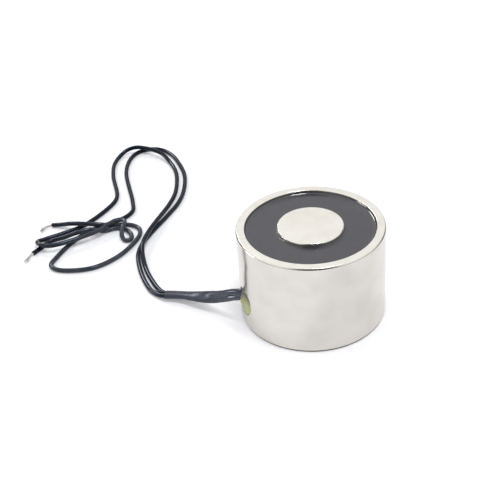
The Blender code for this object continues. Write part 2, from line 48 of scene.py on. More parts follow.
# Camera. It looks down at the magnet from the front and a little from the left, rolled by a few
# degrees, with a long lens, as fitted to the round rims of the pot.
camera_place = Vector((-0.09232, -0.22422, 0.19143))
camera_aim = Vector((0.25363, 0.78058, -0.57129))
camera_roll = math.radians(-4.42)
camera_pixels_of_focus = 974.0
image_pixels = 500.0
lens = bpy.data.cameras.new("camera")
lens.sensor_width = 36.0
lens.lens = lens.sensor_width * camera_pixels_of_focus / image_pixels
lens.clip_start = 0.01
lens.clip_end = 20.0
level_right = camera_aim.cross(Vector((0.0, 0.0, 1.0))).normalized()
level_up = level_right.cross(camera_aim).normalized()
right = math.cos(camera_roll) * level_right + math.sin(camera_roll) * level_up
up = math.cos(camera_roll) * level_up - math.sin(camera_roll) * level_right
camera = bpy.data.objects.new("camera", lens)
camera.matrix_world = Matrix.Translation(camera_place) @ Matrix(
    (right, up, -camera_aim.normalized())
).transposed().to_4x4()
scene.collection.objects.link(camera)
scene.camera = camera

# Sleeve. One piece of black heat-shrink tube over both leads, shrunk on where they leave the pot.
# Inside the pot it stands upright with one lead over the other, and on its way down it turns a
# little over a quarter, so that its open end lies flat. It is a loft along a falling curve.
MM = 0.001
pot_low, pot_high = (np.array(corner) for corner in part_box("pot_core"))
wall_x = pot_low[0]
sleeve_start = np.array([-21.2, 0.9, 11.3]) * MM
sleeve_mouth = np.array([wall_x, *sleeve_start[1:]])
sleeve_route = [
    (-2.4, 3.8, 9.8), (-4.3, 6.8, 7.8), (-6.3, 10.0, 5.9), (-8.7, 13.4, 4.3),
    (-11.2, 16.7, 3.1), (-13.7, 19.6, 2.3), (-16.3, 21.8, 1.8), (-18.9, 23.5, 1.5),
]
lead_diameter = 1.6 * MM
pair_pitch = 1.75 * MM
sharp_angle = math.radians(35)


def laid(route):
    """A route in millimetres, with X counted from the pot's wall, as places in metres."""
    return np.array(route) * MM + (wall_x, 0.0, 0.0)


def smooth_line(places, step=0.1 * MM):
    """The centripetal Catmull-Rom curve through the places: between two of them it is a blend of
    blends of the lines through neighbouring places, with knots a square root of distance apart."""
    places = np.asarray(places, dtype=float)
    places = np.vstack([2 * places[0] - places[1], places, 2 * places[-1] - places[-2]])
    spans = []
    for p0, p1, p2, p3 in zip(places, places[1:], places[2:], places[3:]):
        t1 = math.sqrt(np.linalg.norm(p1 - p0))
        t2 = t1 + math.sqrt(np.linalg.norm(p2 - p1))
        t3 = t2 + math.sqrt(np.linalg.norm(p3 - p2))
        count = max(2, int(np.linalg.norm(p2 - p1) / step))
        t = np.linspace(t1, t2, count, endpoint=False)[:, None]
        a1 = (t1 - t) / t1 * p0 + t / t1 * p1
        a2 = (t2 - t) / (t2 - t1) * p1 + (t - t1) / (t2 - t1) * p2
        a3 = (t3 - t) / (t3 - t2) * p2 + (t - t2) / (t3 - t2) * p3
        b1 = (t2 - t) / t2 * a1 + t / t2 * a2
        b2 = (t3 - t) / (t3 - t1) * a2 + (t - t1) / (t3 - t1) * a3
        spans.append((t2 - t) / (t2 - t1) * b1 + (t - t1) / (t2 - t1) * b2)
    return np.vstack(spans + [places[-2:-1]])


def travelled(line):
    """How far along the line each of its points lies."""
    return np.r_[0.0, np.cumsum(np.linalg.norm(np.diff(line, axis=0), axis=1))]


def even(line, step):
    """The same line with its points an even step apart."""
    far = travelled(line)
    at = np.linspace(0.0, far[-1], int(far[-1] / step) + 2)
    return np.column_stack([np.interp(at, far, line[:, axis]) for axis in range(3)])


def heading(line):
    """Unit vectors along the line."""
    along = np.gradient(line, axis=0)
    return along / np.linalg.norm(along, axis=1)[:, None]


def beside_and_above(along):
    """Two unit vectors square to each heading: one level, one pointing up."""
    side = np.cross(along, (0.0, 0.0, 1.0))
    side /= np.linalg.norm(side, axis=1)[:, None]
    return side, np.cross(side, along)


def carried(line, outline, first, second, sizes):
    """Grid of points: line[i] + sizes[i] * (outline[j, 0] * first[i] + outline[j, 1] * second[i]).
    An outline of three axes has a row of its own for each i."""
    across = outline[..., :1] * first[:, None] + outline[..., 1:] * second[:, None]
    return line[:, None] + sizes[:, None, None] * across


def skin(name, grid, ring=False):
    """A mesh over a grid of points that closes round its columns. Its rows close too if it is a
    ring, or else its first and last row are capped by a fan. The UV map counts metres, round and
    along. Faces are turned outwards by the sign of the volume that they enclose."""
    rows, columns = grid.shape[:2]
    index = np.arange(rows * columns).reshape(rows, columns)
    points = grid.reshape(-1, 3)
    index = np.vstack([index, index[:1]]) if ring else index
    looped = np.vstack([grid, grid[:1]]) if ring else grid
    round_steps = np.linalg.norm(looped - np.roll(looped, -1, axis=1), axis=2).mean(axis=0)
    along_steps = np.linalg.norm(np.diff(looped, axis=0), axis=2).mean(axis=1)
    u = np.r_[0.0, np.cumsum(round_steps)]
    v = np.r_[0.0, np.cumsum(along_steps)]
    after = np.roll(index, -1, axis=1)
    faces = np.stack([index[:-1], index[1:], after[1:], after[:-1]], axis=-1).reshape(-1, 4)
    u0, v0 = np.meshgrid(u[:-1], v[:-1])
    u1, v1 = np.meshgrid(u[1:], v[1:])
    maps = np.stack([np.stack([u0, v0], -1), np.stack([u0, v1], -1), np.stack([u1, v1], -1),
                     np.stack([u1, v0], -1)], axis=-2).reshape(-1, 4, 2)
    corners = points[faces]
    volume = (np.cross(corners[:, 0], corners[:, 1]) * corners[:, 2]).sum()
    volume += (np.cross(corners[:, 0], corners[:, 2]) * corners[:, 3]).sum()
    faces, maps = (faces, maps) if volume > 0 else (faces[:, ::-1], maps[:, ::-1])
    face_list, map_list = faces.tolist(), maps.reshape(-1, 2)
    if not ring:
        ends = np.stack([grid[0].mean(axis=0), grid[-1].mean(axis=0)])
        points = np.vstack([points, ends])
        middle = np.full(columns, rows * columns)
        fans = np.vstack([np.stack([middle, index[0], after[0]], axis=-1),
                          np.stack([middle + 1, after[-1], index[-1]], axis=-1)])
        fans = fans if volume > 0 else fans[:, ::-1]
        face_list += fans.tolist()
        flat = np.zeros((fans.size, 2))
        flat[fans.shape[0] // 2 * 3:, 1] = v[-1]
        map_list = np.vstack([map_list, flat])
    mesh = bpy.data.meshes.new(name)
    mesh.from_pydata(points.tolist(), [], face_list)
    mesh.uv_layers.new(name="metres").data.foreach_set("uv", map_list.ravel())
    mesh.shade_smooth()
    mesh.set_sharp_from_angle(angle=sharp_angle)
    mesh.update()
    return mesh


def piece(name, mesh, materials, node):
    """Puts a finished piece into the scene: it rides on the one body and stands for its node."""
    made = bpy.data.objects.new(name, mesh)
    scene.collection.objects.link(made)
    for material in materials:
        mesh.materials.append(material)
    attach(made, "root")
    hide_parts(node)
    return made


def srgb(code):
    """The linear colour of an sRGB hex value."""
    parts = np.array([int(code[at:at + 2], 16) for at in (1, 3, 5)]) / 255
    linear = np.where(parts <= 0.04045, parts / 12.92, ((parts + 0.055) / 1.055) ** 2.4)
    return (*linear.tolist(), 1.0)


def add(tree, kind, settings=None, links=None, feeds=None):
    """Adds a node. A setting is a property or a socket's value, a link is a socket that feeds it,
    and feeds is the socket that its first output goes to."""
    made = tree.nodes.new(kind)
    for name, value in (settings or {}).items():
        if isinstance(name, str) and hasattr(made, name):
            setattr(made, name, value)
        else:
            made.inputs[name].default_value = value
    for name, source in (links or {}).items():
        tree.links.new(source, made.inputs[name])
    if feeds is not None:
        tree.links.new(made.outputs[0], feeds)
    return made


def finish(name, colour, roughness, metallic=0.0, **sockets):
    """A material of one Principled shader, and the places that its patterns are read at."""
    made = bpy.data.materials.new(name)
    made.use_nodes = True
    tree = made.node_tree
    shader = tree.nodes["Principled BSDF"]
    values = {"Base Color": srgb(colour), "Roughness": roughness, "Metallic": metallic, **sockets}
    for socket, value in values.items():
        shader.inputs[socket].default_value = value
    return made, tree, shader, add(tree, "ShaderNodeTexCoord")


# Cross-linked polyolefin, shrunk with hot air: black, with soft lengthwise ripples where it gave
# way over the leads, and glossiest near the pot, where it is tight. Nearly all values of a noise
# lie between 0.3 and 0.7.
noise_values = {"From Min": 0.3, "From Max": 0.7}
ripple_width = 0.9 * MM
tight_until, loose_from = 8.0 * MM, 11.5 * MM
heat_shrink, tree, shader, places = finish("black_polyolefin_heat_shrink", "#3A3C44", 0.14, **{
    "Specular IOR Level": 0.6, "Specular Tint": srgb("#CCD5EA")})
lengthened = add(tree, "ShaderNodeVectorMath", {"operation": "MULTIPLY", 1: (1.0, 0.25, 1.0)},
                 {0: places.outputs["UV"]})
ripples = add(tree, "ShaderNodeTexNoise", {"Scale": 1 / ripple_width},
              {"Vector": lengthened.outputs[0]}).outputs["Fac"]
run = add(tree, "ShaderNodeSeparateXYZ", {}, {0: places.outputs["UV"]}).outputs["Y"]
rippled = add(tree, "ShaderNodeMapRange", {**noise_values, "To Min": 0.09, "To Max": 0.20},
              {"Value": ripples})
loosened = add(tree, "ShaderNodeMapRange", {"From Min": tight_until, "From Max": loose_from,
                                            "To Max": 0.18}, {"Value": run})
add(tree, "ShaderNodeMath", {"operation": "ADD"}, {0: rippled.outputs[0], 1: loosened.outputs[0]},
    shader.inputs["Roughness"])
add(tree, "ShaderNodeBump", {"Distance": 0.014 * MM}, {"Height": ripples}, shader.inputs["Normal"])

sleeve_step = 0.25 * MM
sleeve_line = even(smooth_line(np.vstack([sleeve_start, sleeve_mouth, laid(sleeve_route)])),
                   sleeve_step)
sleeve_share = travelled(sleeve_line) / travelled(sleeve_line)[-1]
sleeve_along = heading(sleeve_line)
sleeve_along[0] = (-1.0, 0.0, 0.0)
sleeve_side, sleeve_up = beside_and_above(sleeve_along)
twist_starts, twist_ends = 0.25, 0.85
whole_twist = math.radians(105)
ease = np.clip((sleeve_share - twist_starts) / (twist_ends - twist_starts), 0.0, 1.0)
twist = (whole_twist * ease * ease * (3 - 2 * ease))[:, None]
pair_axis = np.cos(twist) * sleeve_up + np.sin(twist) * sleeve_side
thin_axis = np.cross(sleeve_along, pair_axis)

shrunk_wall = 0.28 * MM
bore_reach = lead_diameter / 2 + 0.04 * MM
oval_fullness = 2.2
waist = 0.1
crease_width = 0.40 * MM
crease_depth = 0.50 * MM
crease_in_bore = 0.8
crease_middle, crease_spread = 0.17, 0.09
mouth_flare, flare_spread = 0.06, 0.035
fold_share = 0.012


def sleeve_outline(reach, crease, count=144):
    """Round the pair, an oval as long as the pair and as thick as a lead. At angle a it reaches
    pair_pitch / 2 * tanh(oval_fullness * sin a) + reach * sin a along the pair, and across it
    reach * cos a, less a waist that grows with the cube of cos a. A narrow crease between the leads
    is as deep in each row as crease says."""
    angle = np.linspace(0.0, math.tau, count, endpoint=False)
    long_way = pair_pitch / 2 * np.tanh(oval_fullness * np.sin(angle)) + reach * np.sin(angle)
    thick_way = reach * np.cos(angle) * (1 - waist * np.cos(angle) ** 2)
    fold = np.sign(np.cos(angle)) * np.exp(-(long_way / crease_width) ** 2)
    thick_way = thick_way - crease[:, None] * fold
    return np.stack([np.broadcast_to(long_way, thick_way.shape), thick_way], axis=-1)


flare = 1 + mouth_flare * np.exp(-(1 - sleeve_share) / flare_spread)
folds = 1 + fold_share * np.sin(sleeve_share * 46.0) * np.sin(sleeve_share * 17.0 + 1.0)
crease = crease_depth * np.exp(-((sleeve_share - crease_middle) / crease_spread) ** 2)
outer = carried(sleeve_line, sleeve_outline(bore_reach + shrunk_wall, crease), pair_axis,
                thin_axis, flare * folds)
bore = carried(sleeve_line, sleeve_outline(bore_reach, crease_in_bore * crease), pair_axis,
               thin_axis, flare)
sleeve_grid = np.vstack([outer, bore[::-1]])
sleeve = piece("heat_shrink_sleeve", skin("heat_shrink_sleeve", sleeve_grid, ring=True),
               [heat_shrink], "lead_sleeve")

# Leads. Two limp stranded wires in black PVC, 1.6 mm across, from their joints inside the pot
# through the sleeve and along the surface in loose loops, each cut and stripped at its end.
lead_routes = {
    "lead_a": [
        (-20.8, 24.6, 1.2), (-22.5, 28.3, 0.85), (-23.1, 33.7, 0.85), (-22.9, 40.4, 0.85),
        (-21.9, 47.2, 0.85), (-20.5, 51.8, 0.85), (-17.5, 56.8, 0.85), (-12.9, 61.9, 0.85),
        (-5.0, 69.6, 0.85), (1.2, 76.2, 0.85), (5.6, 83.4, 0.85), (9.5, 94.5, 0.85),
        (10.3, 105.3, 0.85), (9.6, 113.0, 0.85), (7.3, 118.2, 0.85), (4.2, 120.7, 0.85),
        (0.6, 121.3, 0.85), (-3.0, 120.2, 0.85), (-6.7, 116.2, 0.85), (-10.5, 107.4, 0.85),
        (-14.0, 84.3, 0.85), (-15.6, 78.6, 0.85), (-19.4, 75.5, 0.85), (-32.3, 72.7, 0.85),
        (-40.1, 68.3, 0.85), (-47.5, 61.2, 0.85), (-50.2, 57.4, 0.85), (-48.9, 54.0, 0.85),
        (-43.8, 51.0, 0.85), (-36.4, 49.6, 0.85), (-27.2, 52.7, 0.85), (-19.1, 59.7, 0.85),
        (-16.9, 63.2, 0.85), (-16.5, 66.3, 0.85), (-17.9, 69.0, 0.85), (-20.8, 71.0, 0.85),
        (-25.0, 72.0, 0.9), (-28.3, 72.2, 2.3), (-31.1, 73.0, 2.8), (-38.2, 77.0, 2.8),
        (-41.7, 80.3, 1.4), (-44.8, 82.4, 0.85),
    ],
    "lead_b": [
        (-19.9, 27.2, 1.0), (-20.9, 36.7, 0.85), (-20.8, 41.4, 0.95), (-20.4, 45.6, 1.5),
        (-19.7, 49.5, 2.15), (-18.4, 53.4, 2.7), (-14.6, 59.6, 2.8), (-9.6, 65.8, 2.75),
        (-5.8, 71.0, 2.0), (-1.9, 76.8, 1.1), (2.7, 84.3, 0.85), (7.1, 98.0, 0.85),
        (7.2, 107.0, 1.3), (5.7, 112.6, 2.4), (3.3, 116.4, 2.8), (0.5, 119.7, 2.8),
        (-2.7, 121.9, 2.75), (-6.2, 122.5, 2.0), (-9.5, 121.0, 1.0), (-13.2, 115.7, 0.85),
        (-15.9, 107.0, 0.85), (-18.5, 90.8, 0.85), (-21.6, 86.2, 0.85), (-34.3, 77.0, 0.85),
        (-42.6, 75.1, 0.85), (-49.0, 74.2, 0.9), (-51.9, 72.3, 1.9), (-51.9, 69.4, 2.75),
        (-49.9, 67.0, 2.8), (-45.9, 66.0, 2.8), (-30.3, 68.4, 2.85), (-25.9, 70.9, 2.9),
        (-23.4, 71.9, 2.9), (-21.1, 71.3, 2.9), (-20.7, 69.2, 2.9), (-22.2, 66.8, 2.8),
        (-23.2, 64.6, 2.1), (-23.5, 62.6, 1.3), (-23.1, 61.1, 0.9), (-21.8, 60.4, 0.85),
        (-20.6, 61.4, 0.85), (-20.1, 63.3, 0.85), (-20.3, 65.6, 0.85), (-21.5, 68.1, 0.85),
        (-24.2, 70.0, 0.85), (-28.4, 69.9, 1.0), (-33.0, 70.3, 2.7), (-38.3, 70.5, 2.7),
        (-42.6, 71.3, 1.6), (-47.6, 72.1, 0.85), (-51.2, 69.6, 0.85), (-54.6, 67.3, 0.85),
    ],
}
lead_ring = 18.0 * MM
lead_bend = 2 * lead_diameter
lead_turn_in = math.radians(12)
floor_gap = 0.05 * MM
lead_step = 0.6 * MM
wall_wander = 0.006
cut_edge_steps = np.array([0.04, 0.07, 0.05]) * MM
cut_edge_sizes = (0.96, 0.84, 0.3)


def lead_in_pot(side):
    """The lead's first places. On the ring round the coil they are at r = lead_ring and angle a, at
    (-r cos a, r sin a). Then come those of a quarter bend outwards, which are lead_bend * sin a and
    lead_bend * (1 - cos a) from the sleeve's start."""
    height = sleeve_start[2] + side * pair_pitch / 2
    end = math.asin((lead_bend + side * sleeve_start[1]) / lead_ring) + lead_turn_in
    ring = np.array([end, end - lead_turn_in / 2])
    on_ring = np.column_stack([-lead_ring * np.cos(ring), side * lead_ring * np.sin(ring)])
    angle = np.radians([75, 55, 35, 15])
    bend = np.column_stack([sleeve_start[0] + lead_bend * np.sin(angle),
                            sleeve_start[1] + side * lead_bend * (1 - np.cos(angle))])
    flat = np.vstack([on_ring, bend])
    return np.column_stack([flat, np.full(len(flat), height)])


def two_tone(tree, pattern, first, second, low=0.3, high=0.7):
    """Colours between two sRGB hex values: the first where a pattern is at low or less, the second
    where it is at high or more, and in between by its share of the way."""
    share = add(tree, "ShaderNodeMapRange", {"From Min": low, "From Max": high},
                {"Value": pattern})
    mixed = add(tree, "ShaderNodeMix", {"data_type": "RGBA", 6: srgb(first), 7: srgb(second)},
                {0: share.outputs[0]})
    return mixed.outputs[2]


# PVC, extruded over the strands: glossy, near black with a cool cast, with faint lines along it
# from the die and from the strands below. Where the leads are bunched up its colour is a lighter
# grey: a painted sheen in place of the broad overhead light that those strands mirror.
die_line_width = 0.5 * MM
scuff_size = 3.0 * MM
bunch_begins = {"From Min": 210 * MM, "From Max": 270 * MM}
bunch_ends = {"From Min": 300 * MM, "From Max": 322 * MM, "To Min": 1.0, "To Max": 0.0}
pvc, tree, shader, places = finish("black_extruded_pvc", "#14171F", 0.26, **{
    "Specular IOR Level": 0.35, "Specular Tint": srgb("#B4C6E6")})
lengthened = add(tree, "ShaderNodeVectorMath", {"operation": "MULTIPLY", 1: (1.0, 0.02, 1.0)},
                 {0: places.outputs["UV"]})
die_lines = add(tree, "ShaderNodeTexNoise", {"Scale": 1 / die_line_width},
                {"Vector": lengthened.outputs[0]}).outputs["Fac"]
scuffs = add(tree, "ShaderNodeTexNoise", {"Scale": 1 / scuff_size, "Detail": 4.0},
             {"Vector": places.outputs["Object"]}).outputs["Fac"]
run = add(tree, "ShaderNodeSeparateXYZ", {}, {0: places.outputs["UV"]}).outputs["Y"]
begun = add(tree, "ShaderNodeMapRange", bunch_begins, {"Value": run})
not_ended = add(tree, "ShaderNodeMapRange", bunch_ends, {"Value": run})
# Along the bunched-up stretch the coat's colour is mixed towards grey: a painted sheen.
bunched_painted_sheen = add(tree, "ShaderNodeMath", {"operation": "MULTIPLY"},
              {0: begun.outputs[0], 1: not_ended.outputs[0]})
coat = add(tree, "ShaderNodeMix", {"data_type": "RGBA"},
           {0: bunched_painted_sheen.outputs[0], 6: two_tone(tree, scuffs, "#0D1118", "#151A23"),
            7: two_tone(tree, scuffs, "#35383D", "#4D5056")})
tree.links.new(coat.outputs[2], shader.inputs["Base Color"])
add(tree, "ShaderNodeMapRange", {**noise_values, "To Min": 0.09, "To Max": 0.17},
    {"Value": scuffs}, shader.inputs["Roughness"])
add(tree, "ShaderNodeBump", {"Distance": 0.006 * MM}, {"Height": die_lines},
    shader.inputs["Normal"])

circle = np.linspace(0.0, math.tau, 28, endpoint=False)
circle = np.column_stack([np.cos(circle), np.sin(circle)])
lead_lines = {}
leads = {}
for name, side in (("lead_a", -1), ("lead_b", 1)):
    in_sleeve = sleeve_line + side * pair_pitch / 2 * pair_axis
    inside = smooth_line(np.vstack([lead_in_pot(side), in_sleeve[:1]]))
    # Its last 1.75 mm in the sleeve give the lead its heading outside.
    outside = smooth_line(np.vstack([in_sleeve[[-8, -1]], laid(lead_routes[name])]))
    outside[:, 2] = np.maximum(outside[:, 2], lead_diameter / 2 + floor_gap)
    leaves_at = int(np.argmin(np.linalg.norm(outside - in_sleeve[-1], axis=1)))
    line = even(np.vstack([inside[:-1], in_sleeve, outside[leaves_at + 1:]]), lead_step)
    along = heading(line)
    # The cut end: a slight round on the edge, then flat in to the strands.
    rows = np.vstack([line, line[-1] + np.outer(cut_edge_steps, along[-1])])
    headings = np.vstack([along, np.repeat(along[-1:], len(cut_edge_steps), axis=0)])
    level, above = beside_and_above(headings)
    # The coat's thickness wanders a little, as it left the die.
    gone = travelled(rows) / MM
    sizes = 1 + wall_wander * np.sin(gone * 0.9) * np.sin(gone * 0.37 + side)
    sizes[-len(cut_edge_sizes):] = cut_edge_sizes
    grid = carried(rows, circle * lead_diameter / 2, level, above, sizes)
    leads[name] = piece(name + "_wire", skin(name + "_wire", grid), [pvc], name)
    lead_lines[name] = line

# Stripped ends. About 6 mm of bare copper strands, twisted by hand and dipped in solder, with the
# last of them spread a little.
tinned_routes = {
    "lead_a": [(-46.1, 82.7, 0.75), (-47.9, 82.2, 0.6), (-49.7, 79.9, 0.5)],
    "lead_b": [(-55.7, 66.5, 0.75), (-56.9, 65.1, 0.6), (-58.3, 63.4, 0.5)],
}
strand_diameter = 0.3 * MM
strand_lay = 5.0 * MM
strand_reach = 0.27 * MM
strand_splay = 0.16 * MM
strand_count = 7

# Solder over copper: silvery and uneven, bright where it ran smooth and dull where it set rough.
solder_lump = 0.5 * MM
tinned, tree, shader, places = finish("solder_dipped_copper", "#CFCCC6", 0.32, 1.0)
solder = add(tree, "ShaderNodeTexNoise", {"Scale": 1 / solder_lump, "Detail": 3.0},
             {"Vector": places.outputs["Object"]}).outputs["Fac"]
add(tree, "ShaderNodeMapRange", {**noise_values, "To Min": 0.22, "To Max": 0.48},
    {"Value": solder}, shader.inputs["Roughness"])
add(tree, "ShaderNodeBump", {"Distance": 0.03 * MM}, {"Height": solder}, shader.inputs["Normal"])


def twisted_strands(line):
    """Strands wound round a line: strand k lies at an angle of k sixths of a turn, which grows by
    a turn in each lay, and at a distance that grows with the cube of its share of the length.
    Strand 0 is the straight one in the middle. Returns one closed grid per strand."""
    far = travelled(line)
    level, above = beside_and_above(heading(line))
    share = far / far[-1]
    grids = []
    for strand in range(strand_count):
        turn = math.tau * (strand / (strand_count - 1) + far / strand_lay)
        spread = strand % 3
        out = 0.0 if strand == 0 else strand_reach + strand_splay * share ** 3 * (1 + spread)
        round_line = np.cos(turn)[:, None] * level + np.sin(turn)[:, None] * above
        middle = line + np.broadcast_to(out, far.shape)[:, None] * round_line
        # The strands were not cut at one length.
        middle = middle[: len(middle) - 3 * spread]
        middle[:, 2] = np.maximum(middle[:, 2], strand_diameter / 2)
        first, second = beside_and_above(heading(middle))
        grids.append(carried(middle, circle[::3] * strand_diameter / 2, first, second,
                             np.ones(len(middle))))
    return grids


def joined(name, meshes):
    """One mesh of several."""
    whole = bmesh.new()
    for mesh in meshes:
        whole.from_mesh(mesh)
        bpy.data.meshes.remove(mesh)
    made = bpy.data.meshes.new(name)
    whole.to_mesh(made)
    whole.free()
    return made


for name, route in tinned_routes.items():
    start = lead_lines[name][-1]
    # They stop 0.4 mm short of the route's end, because the last of them splay.
    line = even(smooth_line(np.vstack([start, laid(route)]))[:-4], 0.2 * MM)
    strands = [skin("strand", grid) for grid in twisted_strands(line)]
    piece(name + "_bare_strands", joined(name + "_bare_strands", strands), [tinned],
                       name + "_tinned_end")

for name, wire in leads.items():
    line = lead_lines[name]

# Pot. One turned bar of soft steel: back, wall and centre pole, with a hole in the wall for the
# leads and an M6 fixing thread in the back. It is nickel-plated all over, and its two pole faces
# were ground before that.
pot_radius = -wall_x
pot_height = pot_high[2]
cavity_radius = 19.7 * MM
pole_radius = 10.1 * MM
back_plate = 4.0 * MM
pole_bevel, mouth_bevel, rim_bevel = 0.25 * MM, 0.2 * MM, 0.4 * MM
foot_width, foot_height = 0.3 * MM, 0.7 * MM
thread_minor, thread_pitch, thread_depth = 5.0 * MM, 1.0 * MM, 10.0 * MM
thread_mouth = 6.4 * MM
drill_half_angle = math.radians(59)
turned_columns = 216


def eased(corners, points=6, past=0.05 * MM):
    """A profile with its corners eased: each is a quadratic curve between the places that lie its
    ease before and after it, and a further point past each keeps the flats flat."""
    corners = np.array(corners)
    profile = [corners[0, :2]]
    t = np.linspace(0.0, 1.0, points)[:, None]
    for before, here, after in zip(corners, corners[1:], corners[2:]):
        spot, ease_by = here[:2], here[2]
        back = (before[:2] - spot) / np.linalg.norm(before[:2] - spot)
        on = (after[:2] - spot) / np.linalg.norm(after[:2] - spot)
        start, end = spot + ease_by * back, spot + ease_by * on
        profile.append((start + past * back)[None])
        profile.append((1 - t) ** 2 * start + 2 * t * (1 - t) * spot + t ** 2 * end)
        profile.append((end + past * on)[None])
    profile.append(corners[-1, :2])
    return np.vstack(profile)


def turned(profile, columns=turned_columns):
    """Grid of a profile of (radius, height) turned about Z: (r cos a, r sin a, h)."""
    angle = np.linspace(0.0, math.tau, columns, endpoint=False)
    round_z = np.stack([np.cos(angle), np.sin(angle)], axis=-1)
    flat = profile[:, None, :1] * round_z[None]
    height = np.broadcast_to(profile[:, None, 1:], flat.shape[:2] + (1,))
    return np.concatenate([flat, height], axis=2)


def threaded_bore(columns=turned_columns):
    """Grid of the blind tapped hole, with 11 rows to a pitch. At height h and angle a the radius is
    the larger one of the mouth's bevel, mouth / 2 - h, and the thread: minor / 2 plus 0.52 of the
    pitch times a triangle wave of h / pitch - a / 360 degrees, clipped flat at root and crest. The
    thread fades out over a pitch above the bottom, and the drill's point closes the hole."""
    height = np.arange(0.0, thread_depth, thread_pitch / 11)
    angle = np.linspace(0.0, math.tau, columns, endpoint=False)
    wave = (height[:, None] / thread_pitch - angle[None] / math.tau) % 1.0
    groove = 0.52 * thread_pitch * np.clip(1.125 - 2.5 * np.abs(wave - 0.5), 0.0, 1.0)
    fade = np.clip((thread_depth - height) / thread_pitch - 1.2, 0.0, 1.0)[:, None]
    radius = np.maximum(thread_minor / 2 + groove * fade, (thread_mouth / 2 - height)[:, None])
    point_depth = thread_minor / 2 / math.tan(drill_half_angle)
    point = np.array([[thread_minor / 2, thread_depth], [0.05 * MM, thread_depth + point_depth]])
    wall = np.stack([radius * np.cos(angle), radius * np.sin(angle),
                     np.broadcast_to(height[:, None], radius.shape)], axis=-1)
    return np.vstack([wall, turned(point, columns)])


# Each corner is (radius, height, ease), from the pole's middle over the coil space to the back.
pot_profile = eased([
    (0.05 * MM, pot_height, 0.0),
    (pole_radius - pole_bevel, pot_height, 0.08 * MM),
    (pole_radius, pot_height - pole_bevel, 0.08 * MM),
    (pole_radius, back_plate, 0.3 * MM),
    (cavity_radius, back_plate, 0.3 * MM),
    (cavity_radius, pot_height - mouth_bevel, 0.06 * MM),
    (cavity_radius + mouth_bevel, pot_height, 0.08 * MM),
    (pot_radius - rim_bevel, pot_height, 0.1 * MM),
    (pot_radius, pot_height - rim_bevel, 0.2 * MM),
    (pot_radius, foot_height, 0.1 * MM),
    (pot_radius - foot_width, 0.0, 0.1 * MM),
    (thread_mouth / 2, 0.0, 0.0),
])
pot_mesh = skin("plated_pot", np.vstack([turned(pot_profile), threaded_bore()]))
middles = np.zeros(len(pot_mesh.polygons) * 3)
normals = np.zeros(len(pot_mesh.polygons) * 3)
pot_mesh.polygons.foreach_get("center", middles)
pot_mesh.polygons.foreach_get("normal", normals)
middles, normals = middles.reshape(-1, 3), normals.reshape(-1, 3)
from_axis = np.hypot(middles[:, 0], middles[:, 1])
ground_face = (normals[:, 2] > 0.9) & (middles[:, 2] > pot_height - 0.2 * MM)
in_thread = (from_axis < thread_mouth / 2 + 0.1 * MM) & (middles[:, 2] < thread_depth + 3 * MM)
turned_back = (middles[:, 2] < 0.1 * MM) & ~in_thread
# The bottom edge takes the dark nickel: a painted contact shade.
foot = (middles[:, 2] < foot_height - 0.05 * MM) & (normals[:, 2] < -0.2) & ~turned_back
wall_slot, face_slot, dull_and_shaded_slot = 0, 1, 2
pot_mesh.polygons.foreach_set("material_index", np.select(
    [in_thread | foot, ground_face | turned_back], [dull_and_shaded_slot, face_slot], wall_slot
).astype(np.int32))

# Bright nickel over a fine-turned wall: it mirrors what is round it, a little softened in cloudy
# patches where the plating's grain differs and where it was handled. The turning lines are drawn
# 0.4 mm apart so that they show.
plating_cloud = 6.0 * MM
turning_line = 0.4 * MM
nickel_wall, tree, shader, places = finish("bright_nickel_on_turned_steel", "#E2DDD3", 0.16, 1.0)
clouds = add(tree, "ShaderNodeTexNoise", {"Scale": 1 / plating_cloud, "Detail": 4.0},
             {"Vector": places.outputs["Object"]}).outputs["Fac"]
flattened = add(tree, "ShaderNodeVectorMath", {"operation": "MULTIPLY", 1: (0.048, 0.048, 1.0)},
                {0: places.outputs["Object"]})
turning = add(tree, "ShaderNodeTexNoise", {"Scale": 1 / turning_line},
              {"Vector": flattened.outputs[0]}).outputs["Fac"]
tree.links.new(two_tone(tree, clouds, "#DDD9D1", "#E6E2DA"), shader.inputs["Base Color"])
add(tree, "ShaderNodeMapRange", {**noise_values, "To Min": 0.13, "To Max": 0.24},
    {"Value": clouds}, shader.inputs["Roughness"])
both = add(tree, "ShaderNodeMath", {"operation": "MULTIPLY_ADD", 1: 0.25}, {0: turning, 2: clouds})
add(tree, "ShaderNodeBump", {"Distance": 0.02 * MM}, {"Height": both.outputs[0]},
    shader.inputs["Normal"])

# Nickel over the ground pole faces: duller than on the wall, with faint rings left by the facing
# tool, drawn 0.6 mm apart so that they show. Its colour is lighter than the wall's, a painted
# highlight for the light that the top faces catch. A wave texture of scale 1 repeats every 0.314 m.
wave_repeat = 0.314
facing_ring = 0.6 * MM
face_cloud = 5.0 * MM
nickel_face, tree, shader, places = finish("nickel_on_ground_pole_face", "#E6DFD0", 0.3, 1.0)
clouds = add(tree, "ShaderNodeTexNoise", {"Scale": 1 / face_cloud, "Detail": 3.0},
             {"Vector": places.outputs["Object"]}).outputs["Fac"]
rings = add(tree, "ShaderNodeTexWave", {"wave_type": "RINGS", "rings_direction": "Z",
                                        "Scale": wave_repeat / facing_ring, "Distortion": 1.5},
            {"Vector": places.outputs["Object"]}).outputs["Fac"]
# These lighter colours are a painted highlight on the top faces.
tree.links.new(two_tone(tree, clouds, "#ECE8DF", "#F6F3ED"), shader.inputs["Base Color"])
add(tree, "ShaderNodeMapRange", {"To Min": 0.26, "To Max": 0.36}, {"Value": rings},
    shader.inputs["Roughness"])
add(tree, "ShaderNodeBump", {"Distance": 0.004 * MM}, {"Height": rings}, shader.inputs["Normal"])
